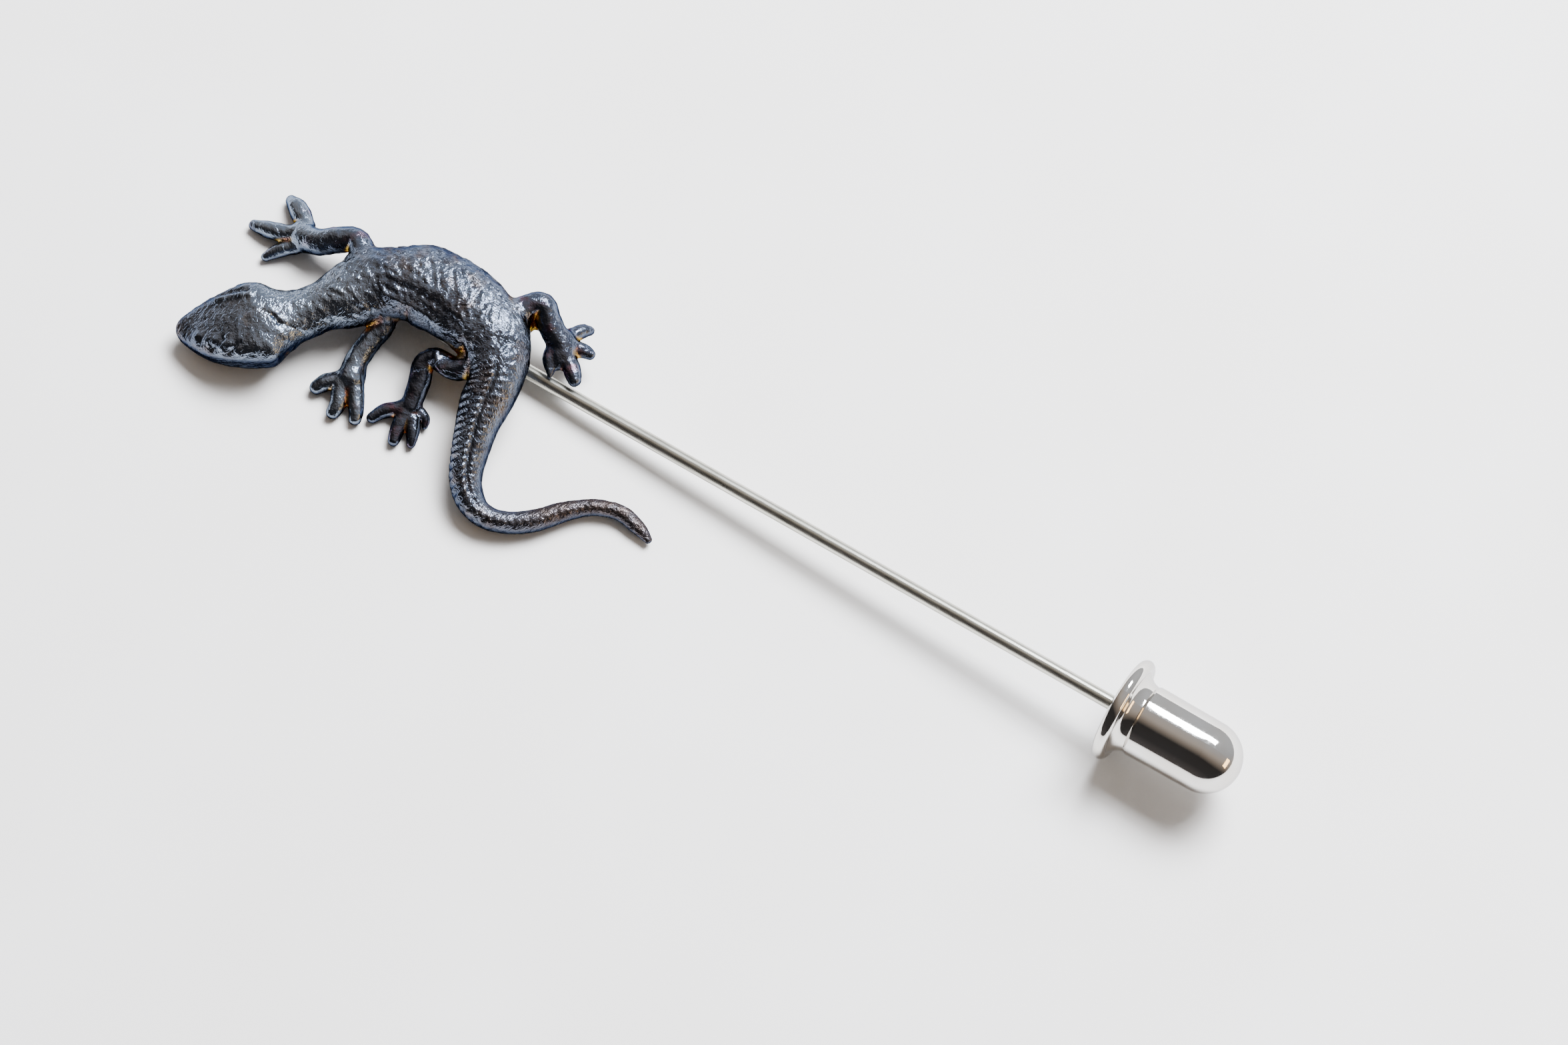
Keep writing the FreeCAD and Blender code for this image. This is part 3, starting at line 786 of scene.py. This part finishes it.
def drawn_steel():
    """Bright drawn wire with fine lengthwise lines."""
    f = Finish("drawn_steel", metallic=1.0)
    lines = f.node("ShaderNodeMapping", {"vector_type": "POINT"}, f.place(), None, None, (0.02, 1.0, 1.0))
    streak = f.noise(0.05, 2.0, 0.6, vector=lines)
    cloud = f.noise(3.0, 2.0, 0.5)
    f.feed("Base Color", f.blend(f.between(cloud, 0.35, 0.65), (0.50, 0.49, 0.43), (0.62, 0.61, 0.55)))
    f.feed("Roughness", f.between(streak, 0.3, 0.7, 0.26, 0.38))
    f.feed("Normal", f.bump(streak, 0.006, 0.4))
    return f.material


def nickel_plate():
    """Mirror nickel with faint polishing marks."""
    f = Finish("nickel_plate", metallic=1.0, specular_tint=(0.72, 0.72, 0.74, 1.0))
    cloud = f.noise(2.2, 2.0, 0.5)
    haze = f.noise(0.35, 3.0, 0.6)
    f.feed("Base Color", f.blend(f.between(cloud, 0.3, 0.7), (0.64, 0.61, 0.57), (0.70, 0.69, 0.67)))
    f.feed("Roughness", f.between(haze, 0.35, 0.75, 0.045, 0.13))
    f.feed("Normal", f.bump(haze, 0.004, 0.10))
    return f.material


def soft_solder():
    """Grey solder with a rippled skin."""
    f = Finish("soft_solder", metallic=1.0)
    ripple = f.noise(0.5, 3.0, 0.55)
    f.feed("Base Color", f.blend(f.between(ripple, 0.3, 0.7), (0.38, 0.38, 0.38), (0.60, 0.60, 0.59)))
    f.feed("Roughness", f.between(ripple, 0.3, 0.7, 0.25, 0.5))
    f.feed("Normal", f.bump(ripple, 0.08, 0.6))
    return f.material


def pressed_brass():
    """Plain brass sheet."""
    f = Finish("pressed_brass", metallic=1.0)
    cloud = f.noise(0.6, 3.0, 0.55)
    f.feed("Base Color", f.blend(f.between(cloud, 0.3, 0.7), (0.60, 0.44, 0.20), (0.78, 0.62, 0.34)))
    f.feed("Roughness", f.between(cloud, 0.3, 0.7, 0.22, 0.4))
    return f.material


def black_rubber():
    """Dull rubber."""
    f = Finish("black_rubber", metallic=0.0)
    cloud = f.noise(0.4, 3.0, 0.6)
    f.feed("Base Color", f.blend(f.between(cloud, 0.3, 0.7), (0.018, 0.017, 0.016), (0.04, 0.038, 0.036)))
    f.feed("Roughness", f.between(cloud, 0.3, 0.7, 0.6, 0.8))
    f.feed("Normal", f.bump(cloud, 0.02, 0.4))
    return f.material


def give(thing, material):
    thing.data.materials.clear()
    thing.data.materials.append(material)


def refinish(node, material):
    """A kept CAD piece gets its finish in its own material slots."""
    for slot in frame["nodes"][node].material_slots:
        slot.material = material


# ---------------------------------------------------------------------------
# Table, light and camera
# ---------------------------------------------------------------------------
TABLE_METRES = 3.0
CAMERA_DISTANCE = 300.0
CAMERA_ELEVATION = math.radians(70.0)
CAMERA_TURN = math.radians(32.11)
CAMERA_TARGET = (19.29, -0.27, 2.0)
LENS_MM = 105.6
SENSOR_MM = 36.0
NEAREST_METRES = 0.01
BRIGHT_SIDE = (0.10, 0.90, 0.36)        # the way to the brightest part of the room


def lay_table():
    bpy.ops.mesh.primitive_plane_add(size=TABLE_METRES, location=(0, 0, 0))
    table = bpy.context.object
    table.name = "table"
    f = Finish("white_table", roughness=0.85)
    cloud = f.noise(18.0, 2.0, 0.5)
    f.feed("Base Color", f.blend(f.between(cloud, 0.3, 0.7), (0.80, 0.79, 0.78), (0.84, 0.84, 0.84)))
    give(table, f.material)


def lay_lamp(name, direction, distance_mm, size_mm, watts, colour):
    """A soft square light facing the pin from that direction."""
    lamp = bpy.data.lights.new(name, "AREA")
    lamp.shape = "RECTANGLE"
    lamp.size, lamp.size_y = size_mm[0] * MM, size_mm[1] * MM
    lamp.energy = watts
    lamp.color = colour
    thing = bpy.data.objects.new(name, lamp)
    back = Vector(direction).normalized()
    turn = back.to_track_quat("Z", "Y").to_matrix().to_4x4()
    thing.matrix_world = Matrix.Translation(back * distance_mm * MM) @ turn
    bpy.context.scene.collection.objects.link(thing)
    return thing


def set_room():
    """A room with a bright far side, a warm ceiling, and a dark side behind the viewer."""
    world = bpy.data.worlds.new("room")
    world.use_nodes = True
    tree = world.node_tree
    background = next(n for n in tree.nodes if n.type == "BACKGROUND")
    where = tree.nodes.new("ShaderNodeTexCoord")
    facing = tree.nodes.new("ShaderNodeVectorMath")
    facing.operation = "DOT_PRODUCT"
    facing.inputs[1].default_value = Vector(BRIGHT_SIDE).normalized()
    ramp = tree.nodes.new("ShaderNodeValToRGB")
    stops = [
        (0.00, (0.11, 0.10, 0.10)),
        (0.18, (0.048, 0.045, 0.045)),
        (0.42, (0.042, 0.039, 0.038)),
        (0.54, (0.30, 0.25, 0.21)),
        (0.66, (0.58, 0.51, 0.45)),
        (0.82, (0.62, 0.63, 0.66)),
        (1.00, (0.78, 0.80, 0.84)),
    ]
    Finish.set_stops(ramp.color_ramp, stops)
    shift = tree.nodes.new("ShaderNodeMapRange")
    shift.inputs["From Min"].default_value = -1.0
    tree.links.new(where.outputs["Generated"], facing.inputs[0])
    tree.links.new(facing.outputs["Value"], shift.inputs["Value"])
    tree.links.new(shift.outputs["Result"], ramp.inputs["Fac"])
    tree.links.new(ramp.outputs["Color"], background.inputs["Color"])
    background.inputs["Strength"].default_value = 1.0
    bpy.context.scene.world = world


def set_camera():
    across = Vector((math.cos(CAMERA_TURN), math.sin(CAMERA_TURN), 0))
    away = Vector((-math.sin(CAMERA_TURN), math.cos(CAMERA_TURN), 0))
    back = Vector((0, 0, 1)) * math.sin(CAMERA_ELEVATION) - away * math.cos(CAMERA_ELEVATION)
    up = back.cross(across)
    camera = bpy.data.objects.new("camera", bpy.data.cameras.new("camera"))
    camera.data.sensor_width = SENSOR_MM
    camera.data.lens = LENS_MM
    camera.data.clip_start = NEAREST_METRES
    spot = pin_point(*CAMERA_TARGET) + back * CAMERA_DISTANCE * MM
    camera.matrix_world = Matrix.Translation(spot) @ Matrix((across, up, back)).transposed().to_4x4()
    bpy.context.scene.collection.objects.link(camera)
    bpy.context.scene.camera = camera
    return across, away


# ---------------------------------------------------------------------------
# The pin
# ---------------------------------------------------------------------------
across, away = set_camera()
set_room()
lay_table()
window = away * 0.56 + across * 0.46 + Vector((0, 0, 0.95))
daylight = lay_lamp("daylight", window, 600, (420, 300), 14.0, (0.98, 0.98, 1.0))
daylight.visible_glossy = False     # or its reflection would drown the window lamp's glints
warm_side = across * 0.85 - away * 0.45 + Vector((0, 0, 0.30))
lay_lamp("warm lamp", warm_side, 450, (150, 90), 0.30, (1.0, 0.62, 0.25))
lay_lamp("window", window, 420, (170, 100), 2.6, (0.90, 0.95, 1.0))

lizard = build_lizard()
give(lizard, dark_casting())
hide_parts("lizard_casting")
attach(lizard, "pin")

refinish("pin_wire", drawn_steel())
refinish("solder_bead", soft_solder())
refinish("clutch_shell", nickel_plate())
refinish("clutch_washer", pressed_brass())
refinish("clutch_grip", black_rubber())
